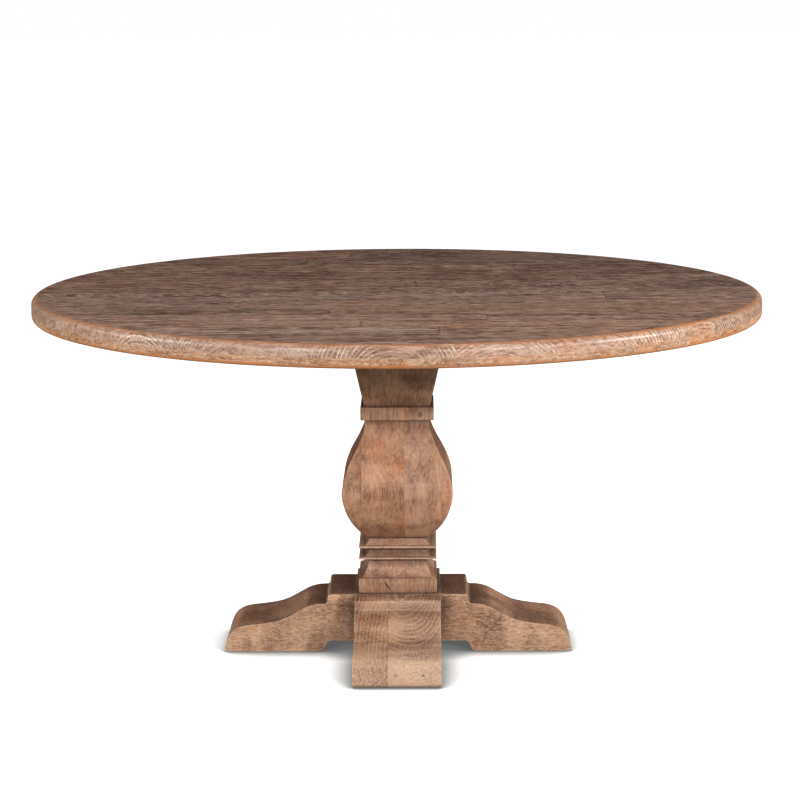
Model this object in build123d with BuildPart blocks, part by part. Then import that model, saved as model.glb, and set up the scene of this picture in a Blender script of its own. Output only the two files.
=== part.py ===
from build123d import *
import os

# Round pedestal dining table in solid wood, in millimetres, +Z up.
# The origin is on the floor, at the centre of the leg cross. X runs along the top boards.

# ---- Table top -------------------------------------------------------------------------------
table_height = 762
top_diameter = 1524
board_thickness = 25
rim_thickness = 20        # second layer, glued under the edge of the boards
rim_width = 80
rim_segments = 8
rim_first_joint = 2       # degrees, where the first joint between rim segments lies
upper_round = 14
lower_round = 10

# Rows of boards from the back to the front, and the X of the butt joint in each row (None: one board).
row_widths = [112, 100, 120, 90, 90, 80, 115, 85, 130, 125, 80, 80, 90, 95, 132]
row_joints = [None, -115, -210, 260, -300, 390, 40, -10, 430, -315, -130, 180, -65, 85, None]

# ---- Battens and mounting plate, under the boards and level with the rim's lower face --------
batten_spacing = 700      # between the centre lines of the two battens
batten_width = 70
batten_length = 1120
plate_size = 400
plate_screw_x = 170
plate_screw_rows = [185, 112, 12, -95, -185]
edge_chamfer = 6

# ---- Column ----------------------------------------------------------------------------------
neck_head_width = 222
neck_foot_width = 138
collar_width = 154
collar_bottom = 496.5
collar_thickness = 28
vase_foot_half = 60
vase_top_half = 67.5
vase_bottom = 240
stave_seams = [-75, 15, 68, 92]   # X of the glue lines between the five staves of the vase
moulding_foot_half = 81
cove_wide_half = 68
cove_narrow_half = 61.5
ridge_half = 80
ridge_nose = 2
ridge_height = 4
lower_ridge = 199
upper_ridge = 223
plinth_width = 166
plinth_bottom = 126
plinth_top = 157
small_round = 2

# ---- Leg cross -------------------------------------------------------------------------------
glide_height = 2
beam_width = 180
beam_half_length = 367
beam_seam = 19            # the glue line between a beam's two planks is this far off its middle
lap_height = 76           # where the two beams meet in their half-lap
arch_height = 25          # underside of the middle part
arch_half = 148
arch_lean = 12
arch_round = 8
shelf_height = 105.5      # top of the foot where it meets the raised middle
riser_round = 6

# ---- Hardware --------------------------------------------------------------------------------
rod_radius = 8
rod_bore = 9
rod_bottom = 28
rod_top = 708
nut_across_flats = 24
nut_height = 13
washer_radius = 24
washer_thickness = 3
pocket_radius = 27        # counterbores for the rod's nuts and washers
lower_pocket_roof = 47
upper_pocket_floor = 687
running_gap = 0.1

coach_site = 45           # coach screws stand at the corners of a square, this far from the axis
coach_radius = 5
coach_head_bottom = 30
coach_head_height = 7
coach_across_flats = 17
coach_length = 110
coach_pocket_radius = 13

screw_radius = 2.2
screw_head_radius = 4.6
screw_head_height = 2.6
screw_length = 35
screw_hole = 2.6
pilot_hole = 2.3
pilot_depth = 16
sink_radius = 4.9
sink_angle = 90
recess_length = 4.4
recess_width = 0.9
recess_depth = 1.4
neck_screw_length = 70
neck_screw_site = 75

glide_radius = 14
glide_nail_radius = 1.2
glide_nail_length = 15
glide_nail_hole = 1.3
glide_reaches = [195, 325]

# ---- Sizes worked out from the ones above ----------------------------------------------------
top_radius = top_diameter / 2
board_bottom = table_height - board_thickness
rim_bottom = board_bottom - rim_thickness
batten_x = batten_spacing / 2
collar_top = collar_bottom + collar_thickness
beam_half = beam_width / 2
square_corners = [(1, 1), (-1, 1), (-1, -1), (1, -1)]
glide_sites = [(reach, 0) for reach in glide_reaches]
glide_sites += [(-reach, 0) for reach in glide_reaches]
glide_sites += [(0, reach) for reach in glide_reaches]
glide_sites += [(0, -reach) for reach in glide_reaches]
coach_sites = [(x * coach_site, y * coach_site) for x, y in square_corners]
neck_screw_sites = [(x * neck_screw_site, y * neck_screw_site) for x, y in square_corners]

rows = []
row_back = top_radius
for width, joint in zip(row_widths, row_joints):
    rows.append((row_back - width, row_back, joint))
    row_back -= width

row_middles = [(front + back) / 2 for front, back, joint in rows]
batten_screw_rows = [y for y in row_middles if abs(y) < batten_length / 2 - edge_chamfer]
batten_screw_sites = [(x, y) for x in (-batten_x, batten_x) for y in batten_screw_rows]
plate_screw_sites = [(x, y) for x in (-plate_screw_x, plate_screw_x) for y in plate_screw_rows]
top_screw_sites = batten_screw_sites + plate_screw_sites

os.makedirs("parts", exist_ok=True)


def save(piece, name):
    """Label a finished piece and write it to its own file."""
    piece.part.label = name
    export_step(piece.part, f"parts/{name}.step")


def drill(radius, bottom, top, sites):
    """Cut upright round holes in the part being built."""
    with Locations(*[(x, y, bottom) for x, y in sites]):
        Cylinder(radius, top - bottom, align=(Align.CENTER, Align.CENTER, Align.MIN), mode=Mode.SUBTRACT)


def countersink_from_below(height, sites):
    """Cut countersunk screw holes that open downwards at the given height."""
    faces = [Plane(origin=(x, y, height), z_dir=(0, 0, -1)) for x, y in sites]
    with Locations(*faces):
        CounterSinkHole(screw_hole, sink_radius, rim_thickness, sink_angle)


# ---- Table top -------------------------------------------------------------------------------
def make_board(name, left, right, front, back):
    """One board of the top, cut from the round-edged disc."""
    with BuildPart() as board:
        with BuildSketch(Plane.XY.offset(board_bottom)):
            Circle(top_radius)
        extrude(amount=board_thickness)
        fillet(board.edges().filter_by(GeomType.CIRCLE).sort_by(Axis.Z)[-1], upper_round)
        with BuildSketch(Plane.XY.offset(board_bottom)):
            with Locations(((left + right) / 2, (front + back) / 2)):
                Rectangle(right - left, back - front)
        extrude(amount=board_thickness, mode=Mode.INTERSECT)
        inside = [(x, y) for x, y in top_screw_sites if left < x < right and front < y < back]
        if inside:
            drill(pilot_hole, board_bottom, board_bottom + pilot_depth, inside)
    save(board, name)


def make_boards():
    """All rows of boards, numbered from the back."""
    for number, (front, back, joint) in enumerate(rows, start=1):
        name = f"top_board_{number:02d}"
        if joint is None:
            make_board(name, -top_radius, top_radius, front, back)
        else:
            make_board(f"{name}_left", -top_radius, joint, front, back)
            make_board(f"{name}_right", joint, top_radius, front, back)


def make_rim_segment(number):
    """One curved segment of the layer under the edge of the boards."""
    step = 360 / rim_segments
    start = rim_first_joint + step * (number - 1)
    reach = top_radius * 1.2
    with BuildPart() as segment:
        with BuildSketch(Plane.XY.offset(rim_bottom)):
            Circle(top_radius)
            Circle(top_radius - rim_width, mode=Mode.SUBTRACT)
        extrude(amount=rim_thickness)
        round_edges = segment.edges().filter_by(GeomType.CIRCLE).group_by(SortBy.RADIUS)[-1]
        fillet(round_edges.sort_by(Axis.Z)[0], lower_round)
        with BuildSketch(Plane.XY.offset(rim_bottom)):
            with BuildLine():
                near = PolarLine((0, 0), reach, start)
                far = PolarLine((0, 0), reach, start + step)
                Line(near @ 1, far @ 1)
            make_face()
        extrude(amount=rim_thickness, mode=Mode.INTERSECT)
    save(segment, f"rim_segment_{number}")


def make_batten(name, x):
    """A batten across the boards, screwed up into every row."""
    with BuildPart() as batten:
        with BuildSketch(Plane.XY.offset(rim_bottom)):
            with Locations((x, 0)):
                Rectangle(batten_width, batten_length)
        extrude(amount=rim_thickness)
        chamfer(batten.faces().sort_by(Axis.Z)[0].edges(), edge_chamfer)
        countersink_from_below(rim_bottom, [site for site in batten_screw_sites if site[0] == x])
    save(batten, name)


def make_mounting_plate():
    """The square plate that joins the column to the top."""
    with BuildPart() as plate:
        with BuildSketch(Plane.XY.offset(rim_bottom)):
            Rectangle(plate_size, plate_size)
        extrude(amount=rim_thickness)
        chamfer(plate.faces().sort_by(Axis.Z)[0].edges(), edge_chamfer)
        countersink_from_below(rim_bottom, plate_screw_sites)
        with Locations(*[(x, y, board_bottom) for x, y in neck_screw_sites]):
            CounterSinkHole(screw_hole, sink_radius, rim_thickness, sink_angle)
    save(plate, "mounting_plate")


# ---- Column ----------------------------------------------------------------------------------
def make_neck():
    """The block that widens from the collar up to the mounting plate."""
    with BuildPart() as neck:
        with BuildSketch(Plane.XY.offset(collar_top)):
            Rectangle(neck_foot_width, neck_foot_width)
        with BuildSketch(Plane.XY.offset(rim_bottom)):
            Rectangle(neck_head_width, neck_head_width)
        loft()
        fillet(neck.edges().group_by(Axis.Z)[1], small_round)
        drill(rod_bore, collar_top, rim_bottom, [(0, 0)])
        drill(pocket_radius, upper_pocket_floor, rim_bottom, [(0, 0)])
        drill(pilot_hole, board_bottom - neck_screw_length - 1, rim_bottom, neck_screw_sites)
    save(neck, "neck")


def make_square_slab(name, width, bottom, top):
    """A square slab of the column with eased edges."""
    with BuildPart() as slab:
        with BuildSketch(Plane.XY.offset(bottom)):
            Rectangle(width, width)
        extrude(amount=top - bottom)
        fillet(slab.edges(), small_round)
        drill(rod_bore, bottom, top, [(0, 0)])
        if bottom == plinth_bottom:
            drill(coach_radius + running_gap, bottom, top, coach_sites)
    save(slab, name)


def draw_vase_side():
    """Half of the vase's outline, from the foot up, and its mirror image."""
    Line((0, vase_bottom), (vase_foot_half, vase_bottom))
    Spline(
        (vase_foot_half, vase_bottom),
        (70, 249),
        (96, 281),
        (112.5, 321),
        (116.5, 347),
        (112, 374),
        (96, 415),
        (83, 440),
        (70, 472),
        (vase_top_half, collar_bottom),
        tangents=[(1, 0.75), (0, 1)],
    )
    Line((vase_top_half, collar_bottom), (0, collar_bottom))
    mirror(about=Plane.YZ)


def make_vase_staves():
    """The square bulging block, split into the staves that it is glued up from."""
    deep = top_radius / 4
    with BuildPart() as vase:
        with BuildSketch(Plane.XZ):
            with BuildLine():
                draw_vase_side()
            make_face()
        extrude(amount=deep, both=True)
        with BuildSketch(Plane.YZ):
            with BuildLine():
                draw_vase_side()
            make_face()
        extrude(amount=deep, both=True, mode=Mode.INTERSECT)
        drill(rod_bore, vase_bottom, collar_bottom, [(0, 0)])
    seams = [-deep, *stave_seams, deep]
    for number, (left, right) in enumerate(zip(seams, seams[1:]), start=1):
        with BuildPart() as stave:
            add(vase.part)
            with BuildSketch(Plane.XY.offset(vase_bottom)):
                with Locations(((left + right) / 2, 0)):
                    Rectangle(right - left, 2 * deep)
            extrude(amount=collar_bottom - vase_bottom, mode=Mode.INTERSECT)
        save(stave, f"vase_stave_{number}")


def draw_ridge(bottom, cove_top_half, cove_top):
    """A thin rounded ridge with an undercut below it and a cove above it."""
    top = bottom + ridge_height
    nose = ridge_half + ridge_nose
    Line((cove_narrow_half, bottom), (ridge_half, bottom))
    ThreePointArc((ridge_half, bottom), (nose, (bottom + top) / 2), (ridge_half, top))
    Line((ridge_half, top), (cove_wide_half, top))
    middle = (cove_narrow_half + 1.5, top + (cove_top - top) * 0.45)
    ThreePointArc((cove_wide_half, top), middle, (cove_top_half, cove_top))


def draw_moulding_side():
    """Half of the base moulding's outline, from the foot up, and its mirror image."""
    lip = plinth_top + 1.5
    flare_top = plinth_top + 13
    undercut = 2
    Line((0, plinth_top), (moulding_foot_half, plinth_top))
    Line((moulding_foot_half, plinth_top), (moulding_foot_half, lip))
    ThreePointArc((moulding_foot_half, lip), (72, plinth_top + 6), (cove_wide_half, flare_top))
    cove_top = lower_ridge - undercut
    ThreePointArc((cove_wide_half, flare_top), (63.5, 182), (cove_narrow_half, cove_top))
    Line((cove_narrow_half, cove_top), (cove_narrow_half, lower_ridge))
    draw_ridge(lower_ridge, cove_narrow_half, upper_ridge - undercut)
    Line((cove_narrow_half, upper_ridge - undercut), (cove_narrow_half, upper_ridge))
    draw_ridge(upper_ridge, vase_foot_half, vase_bottom)
    Line((vase_foot_half, vase_bottom), (0, vase_bottom))
    mirror(about=Plane.YZ)


def make_base_moulding():
    """The square block of coves and ridges between the vase and the plinth."""
    with BuildPart() as moulding:
        with BuildSketch(Plane.XZ):
            with BuildLine():
                draw_moulding_side()
            make_face()
        extrude(amount=plinth_width, both=True)
        with BuildSketch(Plane.YZ):
            with BuildLine():
                draw_moulding_side()
            make_face()
        extrude(amount=plinth_width, both=True, mode=Mode.INTERSECT)
        drill(rod_bore, plinth_top, vase_bottom, [(0, 0)])
    save(moulding, "base_moulding")


# ---- Leg cross -------------------------------------------------------------------------------
def draw_beam_side():
    """Half of a beam's outline: arch, foot, toe, ogee and raised middle, and its mirror image."""
    foot_start = arch_half + arch_lean
    heel = beam_half_length - 10
    FilletPolyline(
        (0, arch_height),
        (arch_half, arch_height),
        (foot_start, glide_height),
        (heel, glide_height),
        radius=arch_round,
    )
    Spline((heel, glide_height), (beam_half_length, 11), tangents=[(1, 0), (-0.1, 1)])
    Spline(
        (beam_half_length, 11),
        (361, 30),
        (351, 45),
        (336, 54.5),
        (318, 59),
        (300, 61),
        (277, 64),
        (256, 68),
        (240, 73.5),
        (228, 79.5),
        (205, 92.5),
        (192, 99),
        (180, 102.8),
        (168, 104.8),
    )
    FilletPolyline((168, 104.8), (150, shelf_height), (147, plinth_bottom), (0, plinth_bottom), radius=riser_round)
    mirror(about=Plane.YZ)


def cut_beam(lap_bottom, lap_top, length, width):
    """Cut the half-lap, the bores and the nail holes in the plank being built."""
    with Locations((0, 0, lap_bottom)):
        Box(length, width, lap_top - lap_bottom, align=(Align.CENTER, Align.CENTER, Align.MIN), mode=Mode.SUBTRACT)
    drill(rod_bore, arch_height, plinth_bottom, [(0, 0)])
    drill(pocket_radius, arch_height, lower_pocket_roof, [(0, 0)])
    drill(coach_radius + running_gap, arch_height, plinth_bottom, coach_sites)
    drill(coach_pocket_radius, arch_height, coach_head_bottom + coach_head_height, coach_sites)
    drill(glide_nail_hole, glide_height, glide_height + glide_nail_length + 1, glide_sites)


def make_lower_beam_plank(name, front, back):
    """A plank of the beam that runs along X and is notched from above."""
    with BuildPart() as plank:
        with BuildSketch(Plane.XZ.offset(-back)):
            with BuildLine():
                draw_beam_side()
            make_face()
        extrude(amount=back - front)
        cut_beam(lap_height, table_height, beam_width, beam_width)
    save(plank, name)


def make_upper_beam_plank(name, left, right):
    """A plank of the beam that runs along Y and is notched from below."""
    with BuildPart() as plank:
        with BuildSketch(Plane.YZ.offset(left)):
            with BuildLine():
                draw_beam_side()
            make_face()
        extrude(amount=right - left)
        cut_beam(0, lap_height, beam_width, beam_width)
    save(plank, name)


# ---- Hardware --------------------------------------------------------------------------------
def make_tie_rod():
    """The rod that clamps the whole column together."""
    with BuildPart() as rod:
        with BuildSketch(Plane.XY.offset(rod_bottom)):
            Circle(rod_radius)
        extrude(amount=rod_top - rod_bottom)
        chamfer(rod.edges().filter_by(GeomType.CIRCLE), small_round / 2)
    save(rod, "tie_rod")


def make_rod_nuts():
    """The nuts at the two ends of the rod."""
    bottoms = [lower_pocket_roof - washer_thickness - nut_height, upper_pocket_floor + washer_thickness]
    with BuildPart() as nuts:
        for bottom in bottoms:
            with BuildSketch(Plane.XY.offset(bottom)):
                RegularPolygon(nut_across_flats / 2, 6, major_radius=False)
                Circle(rod_radius + running_gap, mode=Mode.SUBTRACT)
            extrude(amount=nut_height)
    save(nuts, "rod_nuts")


def make_rod_washers():
    """The washers under the rod's nuts."""
    with BuildPart() as washers:
        for bottom in (lower_pocket_roof - washer_thickness, upper_pocket_floor):
            with BuildSketch(Plane.XY.offset(bottom)):
                Circle(washer_radius)
                Circle(rod_radius + running_gap, mode=Mode.SUBTRACT)
            extrude(amount=washer_thickness)
    save(washers, "rod_washers")


def make_coach_screws():
    """The hexagon-headed screws that fasten the leg cross to the plinth."""
    with BuildPart() as screws:
        with BuildSketch(Plane.XY.offset(coach_head_bottom)):
            with Locations(*coach_sites):
                RegularPolygon(coach_across_flats / 2, 6, major_radius=False)
        extrude(amount=coach_head_height)
        with BuildSketch(Plane.XY.offset(coach_head_bottom + coach_head_height)):
            with Locations(*coach_sites):
                Circle(coach_radius)
        extrude(amount=coach_length)
        tips = screws.edges().filter_by(GeomType.CIRCLE).group_by(Axis.Z)[-1]
        chamfer(tips, coach_radius * 0.6)
    save(screws, "coach_screws")


def wood_screw(length):
    """A countersunk screw with its head's flat face at the origin and its point up."""
    tip = 2 * screw_radius
    with BuildPart() as screw:
        with BuildSketch(Plane.XZ):
            with BuildLine():
                Polyline(
                    (0, 0),
                    (screw_head_radius, 0),
                    (screw_radius, screw_head_height),
                    (screw_radius, length - tip),
                    (0, length),
                    close=True,
                )
            make_face()
        revolve(axis=Axis.Z)
        with BuildSketch(Plane.XY):
            Rectangle(recess_length, recess_width)
            Rectangle(recess_width, recess_length)
        extrude(amount=recess_depth, mode=Mode.SUBTRACT)
    return screw.part


def make_top_screws():
    """The screws that hold the battens and the plate to the boards."""
    one_screw = wood_screw(screw_length)
    with BuildPart() as screws:
        with Locations(*[(x, y, rim_bottom) for x, y in top_screw_sites]):
            add(one_screw)
    save(screws, "top_screws")


def make_neck_screws():
    """The longer screws from the plate down into the neck."""
    one_screw = wood_screw(neck_screw_length)
    with BuildPart() as screws:
        with Locations(*[Location((x, y, board_bottom), (180, 0, 0)) for x, y in neck_screw_sites]):
            add(one_screw)
    save(screws, "neck_screws")


def make_foot_glides():
    """The nailed glides that the feet stand on."""
    with BuildPart() as glides:
        with BuildSketch(Plane.XY):
            with Locations(*glide_sites):
                Circle(glide_radius)
        extrude(amount=glide_height)
        with BuildSketch(Plane.XY.offset(glide_height)):
            with Locations(*glide_sites):
                Circle(glide_nail_radius)
        extrude(amount=glide_nail_length)
    save(glides, "foot_glides")


make_boards()
for segment_number in range(1, rim_segments + 1):
    make_rim_segment(segment_number)
make_batten("batten_left", -batten_x)
make_batten("batten_right", batten_x)
make_mounting_plate()

make_neck()
make_square_slab("collar", collar_width, collar_bottom, collar_top)
make_vase_staves()
make_base_moulding()
make_square_slab("plinth", plinth_width, plinth_bottom, plinth_top)

make_lower_beam_plank("lower_beam_front_plank", -beam_half, beam_seam)
make_lower_beam_plank("lower_beam_back_plank", beam_seam, beam_half)
make_upper_beam_plank("upper_beam_left_plank", -beam_half, -beam_seam)
make_upper_beam_plank("upper_beam_right_plank", -beam_seam, beam_half)

make_tie_rod()
make_rod_nuts()
make_rod_washers()
make_coach_screws()
make_top_screws()
make_neck_screws()
make_foot_glides()
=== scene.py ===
"""The looks of a round pedestal table in solid wood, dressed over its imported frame."""

import logging
import math
import random
from collections.abc import Iterable, Sequence
from dataclasses import dataclass, field, replace
from enum import Enum

import bmesh
import bpy
from mathutils import Euler, Matrix, Vector


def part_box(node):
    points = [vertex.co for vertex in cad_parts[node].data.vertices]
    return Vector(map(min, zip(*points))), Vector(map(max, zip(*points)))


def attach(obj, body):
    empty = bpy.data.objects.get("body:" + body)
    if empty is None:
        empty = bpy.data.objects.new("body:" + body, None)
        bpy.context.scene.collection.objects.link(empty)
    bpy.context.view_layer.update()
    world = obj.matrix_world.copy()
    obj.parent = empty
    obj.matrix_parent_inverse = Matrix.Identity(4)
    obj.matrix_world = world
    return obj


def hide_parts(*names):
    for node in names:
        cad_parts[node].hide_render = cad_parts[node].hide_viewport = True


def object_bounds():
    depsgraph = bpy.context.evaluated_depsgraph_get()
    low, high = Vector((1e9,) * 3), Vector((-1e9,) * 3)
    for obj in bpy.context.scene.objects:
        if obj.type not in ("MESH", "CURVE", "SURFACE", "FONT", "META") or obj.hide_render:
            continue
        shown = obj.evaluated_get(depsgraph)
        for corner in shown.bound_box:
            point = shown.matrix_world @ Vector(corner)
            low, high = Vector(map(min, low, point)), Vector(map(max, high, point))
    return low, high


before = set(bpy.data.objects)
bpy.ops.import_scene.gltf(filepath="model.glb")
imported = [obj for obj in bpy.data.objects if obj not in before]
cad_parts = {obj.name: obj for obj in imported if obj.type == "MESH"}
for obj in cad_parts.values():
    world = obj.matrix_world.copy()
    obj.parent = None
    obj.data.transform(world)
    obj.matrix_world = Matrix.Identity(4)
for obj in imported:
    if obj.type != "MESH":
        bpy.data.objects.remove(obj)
CAD_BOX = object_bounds()
LOG = logging.getLogger("round_table")
BODY = "root"
FAR_OFF = 9.0
SAME_PLACE = 0.0001
WHITE = (1.0, 1.0, 1.0, 1.0)

Colour = tuple[float, float, float]
Triple = tuple[float, float, float]
Plane = tuple[int, float]  # An axis number and a place on it.
Socket = bpy.types.NodeSocket


# ---- Choices -------------------------------------------------------------------------------------
class Grain(Enum):
    """The way that the fibres of a piece run, as the turn that brings them onto X."""

    ALONG_X = (0.0, 0.0, 0.0)
    ALONG_Y = (0.0, 0.0, -math.pi / 2)
    UPRIGHT = (0.0, math.pi / 2, 0.0)


# ---- Shader wiring -------------------------------------------------------------------------------
def opaque(colour: Colour) -> tuple[float, float, float, float]:
    """A colour with full cover."""
    return (*colour, 1.0)


class Wiring:
    """Adds nodes to one shader tree and joins them."""

    def __init__(self, tree: bpy.types.NodeTree) -> None:
        """Start on a tree, which may already hold nodes."""
        self.tree = tree

    def feed(self, socket: Socket, value: object) -> None:
        """Link a socket to an input, or set the input's own value.

        Args:
            socket: The input.
            value: A socket, or a value that the input takes.
        """
        if isinstance(value, Socket):
            self.tree.links.new(value, socket)
        else:
            socket.default_value = value

    def add(self, kind: str, inputs: dict | Sequence = (), **settings: object) -> bpy.types.NodeOutputs:
        """Add a node.

        Args:
            kind: The node's type name, such as ShaderNodeMath.
            inputs: Values or sockets for its inputs, by their names or in order.
            settings: Properties to set on it.

        Returns:
            The node's outputs.
        """
        made = self.tree.nodes.new(kind)
        for name, value in settings.items():
            setattr(made, name, value)
        for name, value in inputs.items() if isinstance(inputs, dict) else enumerate(inputs):
            self.feed(made.inputs[name], value)
        return made.outputs

    def math(self, operation: str, *values: object, clamp: bool = False) -> Socket:
        """One number from up to three others, by an operation such as MULTIPLY."""
        return self.add("ShaderNodeMath", values, operation=operation, use_clamp=clamp)[0]

    def vector(self, operation: str, *values: object) -> Socket:
        """One vector from others, by an operation such as ADD."""
        return self.add("ShaderNodeVectorMath", values, operation=operation)["Vector"]

    def length(self, vector: object) -> Socket:
        """The length of a vector."""
        return self.add("ShaderNodeVectorMath", (vector,), operation="LENGTH")["Value"]

    def off_axis(self, spot: Socket) -> Socket:
        """How far a place is from the table's upright axis."""
        return self.length(self.vector("MULTIPLY", spot, (1.0, 1.0, 0.0)))

    def spread(
        self, value: object, low: float, high: float, out_low: float = 0.0, out_high: float = 1.0
    ) -> Socket:
        """Ease a number from the span of low to high onto another span, held at its ends."""
        values = (value, low, high, out_low, out_high)
        return self.add("ShaderNodeMapRange", values, interpolation_type="SMOOTHSTEP")[0]

    def mix(self, factor: object, first: object, second: object, mode: str = "MIX") -> Socket:
        """Two colours mixed by the second one's share, through their sockets' places in the node."""
        values = {0: factor, 6: first, 7: second}
        return self.add("ShaderNodeMix", values, data_type="RGBA", blend_type=mode)[2]

    def combine(self, *values: object) -> Socket:
        """A vector from its three parts."""
        return self.add("ShaderNodeCombineXYZ", values)[0]

    def split(self, vector: object) -> tuple[Socket, ...]:
        """The three parts of a vector."""
        return tuple(self.add("ShaderNodeSeparateXYZ", (vector,)))

    def draw(self, number: object) -> Socket:
        """A draw from 0 to 1 that belongs to a number."""
        return self.add("ShaderNodeTexWhiteNoise", {"W": number}, noise_dimensions="1D")["Value"]

    def bump(self, height: Socket, strength: float, distance: float) -> Socket:
        """The normal of a surface in relief, from how much of it shows and how high it stands."""
        values = {"Height": height, "Strength": strength, "Distance": distance}
        return self.add("ShaderNodeBump", values)["Normal"]

    def group(self, tree: bpy.types.NodeTree, **values: object) -> bpy.types.NodeOutputs:
        """A node group's outputs, from its inputs with the spaces in their names as underscores."""
        named = {name.replace("_", " ").title(): value for name, value in values.items()}
        return self.add("ShaderNodeGroup", named, node_tree=tree)


@dataclass(frozen=True)
class Cloud:
    """Patches of noise, with so many to the metre each way, that show between two levels of it."""

    scale: Triple
    detail: float = 2.0
    roughness: float = 0.5
    start: float = 0.0
    full: float = 1.0

    def level(self, wire: Wiring, place: Socket) -> Socket:
        """The noise itself.

        Args:
            wire: The tree's wiring.
            place: The place, in metres.

        Returns:
            The noise's socket, about 0.5 on average.
        """
        stretched = wire.vector("MULTIPLY", place, self.scale)
        values = {"Vector": stretched, "Scale": 1.0, "Detail": self.detail, "Roughness": self.roughness}
        return wire.add("ShaderNodeTexNoise", values, noise_dimensions="3D")[0]

    def sway(self, wire: Wiring, place: Socket) -> Socket:
        """The noise moved to stray evenly to both sides of nought."""
        return wire.math("SUBTRACT", self.level(wire, place), 0.5)

    def mask(self, wire: Wiring, place: Socket, least: float = 0.0) -> Socket:
        """The patches, from the least value to 1."""
        return wire.spread(self.level(wire, place), self.start, self.full, least, 1.0)


def new_material(name: str) -> tuple[bpy.types.Material, Wiring, bpy.types.NodeInputs]:
    """Start a material.

    Args:
        name: The material's name.

    Returns:
        The material, its wiring, and the inputs of its Principled node.
    """
    material = bpy.data.materials.new(name)
    material.use_nodes = True
    wire = Wiring(material.node_tree)
    return material, wire, material.node_tree.nodes["Principled BSDF"].inputs


# Along the fibres first, then across them.
SLOW_BEND = Cloud((2.0, 6.0, 6.0), 1.0)
QUICK_BEND = Cloud((12.0, 55.0, 55.0), 2.0)
CURLS = Cloud((14.0, 26.0, 26.0), 3.0, 0.6)
BANDS = Cloud((6.0, 38.0, 38.0), 6.0, 0.75, 0.34, 0.66)
STREAKS = Cloud((9.0, 240.0, 240.0), 4.0, 0.7, 0.34, 0.66)
FLECKS = Cloud((28.0, 80.0, 80.0), 5.0, 0.75, 0.36, 0.66)
SPECKS = Cloud((140.0, 400.0, 400.0), 3.0, 0.7, 0.52, 0.66)
CHALK_LENGTHS = Cloud((30.0, 300.0, 300.0), 2.0, 0.6, 0.42, 0.58)
PORES = Cloud((40.0, 850.0, 850.0), 1.0, 0.5, 0.60, 0.72)
TONE = Cloud((5.0, 14.0, 14.0), 2.0, 0.5, 0.3, 0.7)
SMEARS = Cloud((26.0, 6.0, 6.0), 3.0, 0.6, 0.34, 0.66)
WARM_PATCHES = Cloud((9.0, 22.0, 22.0), 3.0, 0.55, 0.50, 0.72)
RUBBED_PATCHES = Cloud((14.0, 45.0, 45.0), 3.0, 0.65, 0.38, 0.62)

# The same all ways.
ARC_WOBBLE = Cloud((14.0,) * 3, 3.0)
ARC_PATCHES = Cloud((5.5,) * 3, 3.0, 0.5, 0.41, 0.56)
ARC_GAPS = Cloud((230.0,) * 3, 3.0, 0.6, 0.38, 0.56)
RAGGED_RIM = Cloud((16.0,) * 3, 4.0, 0.6)
RAGGED_HEM = Cloud((26.0,) * 3, 4.0, 0.6)
RAGGED_MARK = Cloud((260.0,) * 3, 3.0)


# Where finishes and painted shade change: from the table's axis, up from the floor, by slope, or off a joint.
NEAR_COLUMN = (0.15, 0.24)
FAR_OUT = (0.22, 0.38)
LIMED_OUT = (0.24, 0.36)
HIGH_UP = (0.36, 0.47)
OFF_FLOOR = (0.004, 0.04)
FACING_UP = (0.85, 0.99)
FACING_ASIDE = (0.5, 0.9)
JOINT_STAIN = (0.0045, 0.0003)
OPEN_WOOD = (0.002, 0.007)
# How much deeper the painted shade on upward faces is near the column, under the tabletop.
COLUMN_SHADE_DEPTH = 2.6
HEM_REACH = (CAD_BOX[1].x - 0.030, CAD_BOX[1].x - 0.010)
HEM_START = 0.0155
HEM_FULL = 0.0105
HEM_STRAY = 0.012
LINE_COVER = 0.85


@dataclass(frozen=True)
class Rings:
    """How one growth ring after another runs from chalky early wood to dark late wood."""

    power: float
    late_end: float
    chalk_rise: tuple[float, float]
    chalk_fall: tuple[float, float]
    faintest: float

    def lay(self, wire: Wiring, turns: Socket, number: Socket) -> tuple[Socket, Socket, Socket]:
        """Shade the rings.

        Args:
            wire: The tree's wiring.
            turns: How many rings there are between the heart and a place.
            number: A number that is one ring's own.

        Returns:
            How dark the late wood is, how chalky the early wood is, and how strong this ring is.
        """
        share = wire.math("FRACT", turns)
        strength = wire.math("MULTIPLY_ADD", wire.draw(number), 1.0 - self.faintest, self.faintest)
        rise = wire.math("POWER", share, self.power)
        late = wire.math("MULTIPLY", rise, wire.spread(share, 1.0, self.late_end))
        chalk = wire.spread(share, *self.chalk_rise), wire.spread(share, *self.chalk_fall)
        return late, wire.math("MULTIPLY", *chalk), strength


TIMBER_RINGS = Rings(1.8, 0.90, (0.0, 0.06), (0.30, 0.10), 0.4)
ARC_RINGS = Rings(2.0, 0.88, (0.0, 0.08), (0.38, 0.16), 0.3)


def new_group(
    name: str, inputs: dict[str, str], outputs: dict[str, str]
) -> tuple[Wiring, bpy.types.NodeOutputs, bpy.types.NodeInputs]:
    """Start a shader node group.

    Args:
        name: The group's name.
        inputs: Socket names and their kinds, Float, Color or Vector.
        outputs: The same for what it puts out.

    Returns:
        The group's wiring, the sockets that it is given, and those that it puts out.
    """
    tree = bpy.data.node_groups.new(name, "ShaderNodeTree")
    for in_out, sockets in (("INPUT", inputs), ("OUTPUT", outputs)):
        for socket, kind in sockets.items():
            tree.interface.new_socket(socket, in_out=in_out, socket_type=f"NodeSocket{kind}")
    wire = Wiring(tree)
    return wire, wire.add("NodeGroupInput"), tree.nodes.new("NodeGroupOutput").inputs


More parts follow.
